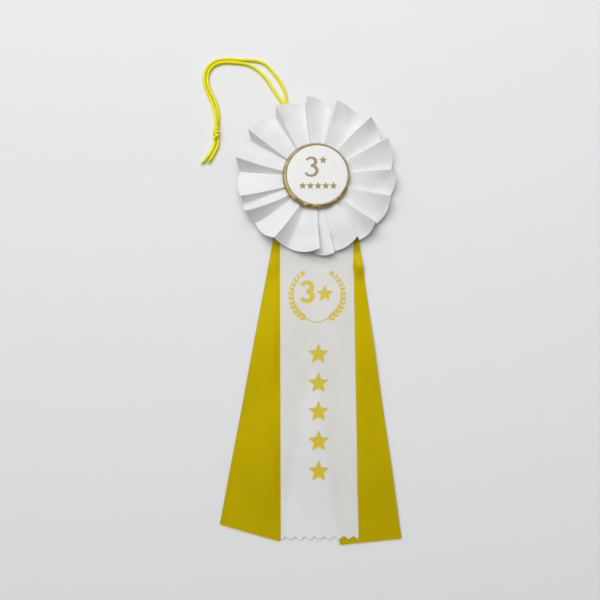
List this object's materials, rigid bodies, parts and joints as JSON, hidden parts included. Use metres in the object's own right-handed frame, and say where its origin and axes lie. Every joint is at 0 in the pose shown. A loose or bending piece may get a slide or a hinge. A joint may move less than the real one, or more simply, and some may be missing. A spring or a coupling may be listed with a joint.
{
  "type": "award ribbon",
  "caption": "Award ribbon: pleated rosette with a round button, a white streamer over two yellow ones, and a yellow hanging cord.",
  "frame": {"origin": "centre of the back card's rear face, which lies on the table", "axes": "+Z out of the rosette's front, +Y towards its top, opposite the streamers, +X to the viewer's right"},
  "size_m": [0.1353, 0.3323, 0.012],
  "materials": {
    "white_satin": "white satin ribbon, finely ribbed, slightly see-through",
    "yellow_satin": "golden yellow satin ribbon with a soft sheen",
    "yellow_cord": "bright yellow twisted cord",
    "grey_board": "plain grey board",
    "printed_card": "coated white card with a gold print",
    "gold_foil": "gold foil, slightly creased",
    "staple_wire": "bright staple wire",
    "hot_glue": "cloudy hot-melt glue",
    "thread": "white sewing thread"
  },
  "bodies": {
    "rosette": {"back_card": "grey_board", "base_card": "grey_board", "pleated_rosette": "white_satin", "gathering_thread": "thread", "button_rim": "gold_foil", "button_face": "printed_card", "button_core": "grey_board", "button_back": "grey_board", "button_glue": "hot_glue", "card_glue_left": "hot_glue", "card_glue_right": "hot_glue", "streamer_staple": "staple_wire", "cord_staple": "staple_wire", "centre_streamer_top": "white_satin", "left_streamer_top": "yellow_satin", "right_streamer_top": "yellow_satin", "cord_bight": "yellow_cord", "cord_strand_inner": "yellow_cord", "cord_strand_outer": "yellow_cord", "cord_knot": "yellow_cord", "cord_tail_inner": "yellow_cord", "cord_tail_outer": "yellow_cord"},
    "centre_tail": {"centre_streamer_tail": "white_satin"},
    "left_tail": {"left_streamer_tail": "yellow_satin"},
    "right_tail": {"right_streamer_tail": "yellow_satin"}
  },
  "joints": [
    {"name": "centre_streamer_lift", "type": "hinge", "parent": "rosette", "child": "centre_tail", "pos_m": [0.00041, -0.0585, 0.00135], "axis": [-1, -0.007, 0], "range_deg": [0, 95]},
    {"name": "left_streamer_fold_back", "type": "hinge", "parent": "rosette", "child": "left_tail", "pos_m": [-0.02237, -0.11716, 0.00015], "axis": [0.9845, -0.1754, 0], "range_deg": [0, 80]},
    {"name": "right_streamer_fold_back", "type": "hinge", "parent": "rosette", "child": "right_tail", "pos_m": [0.01882, -0.11804, 0.00075], "axis": [0.9919, 0.1271, 0], "range_deg": [0, 80]}
  ]
}
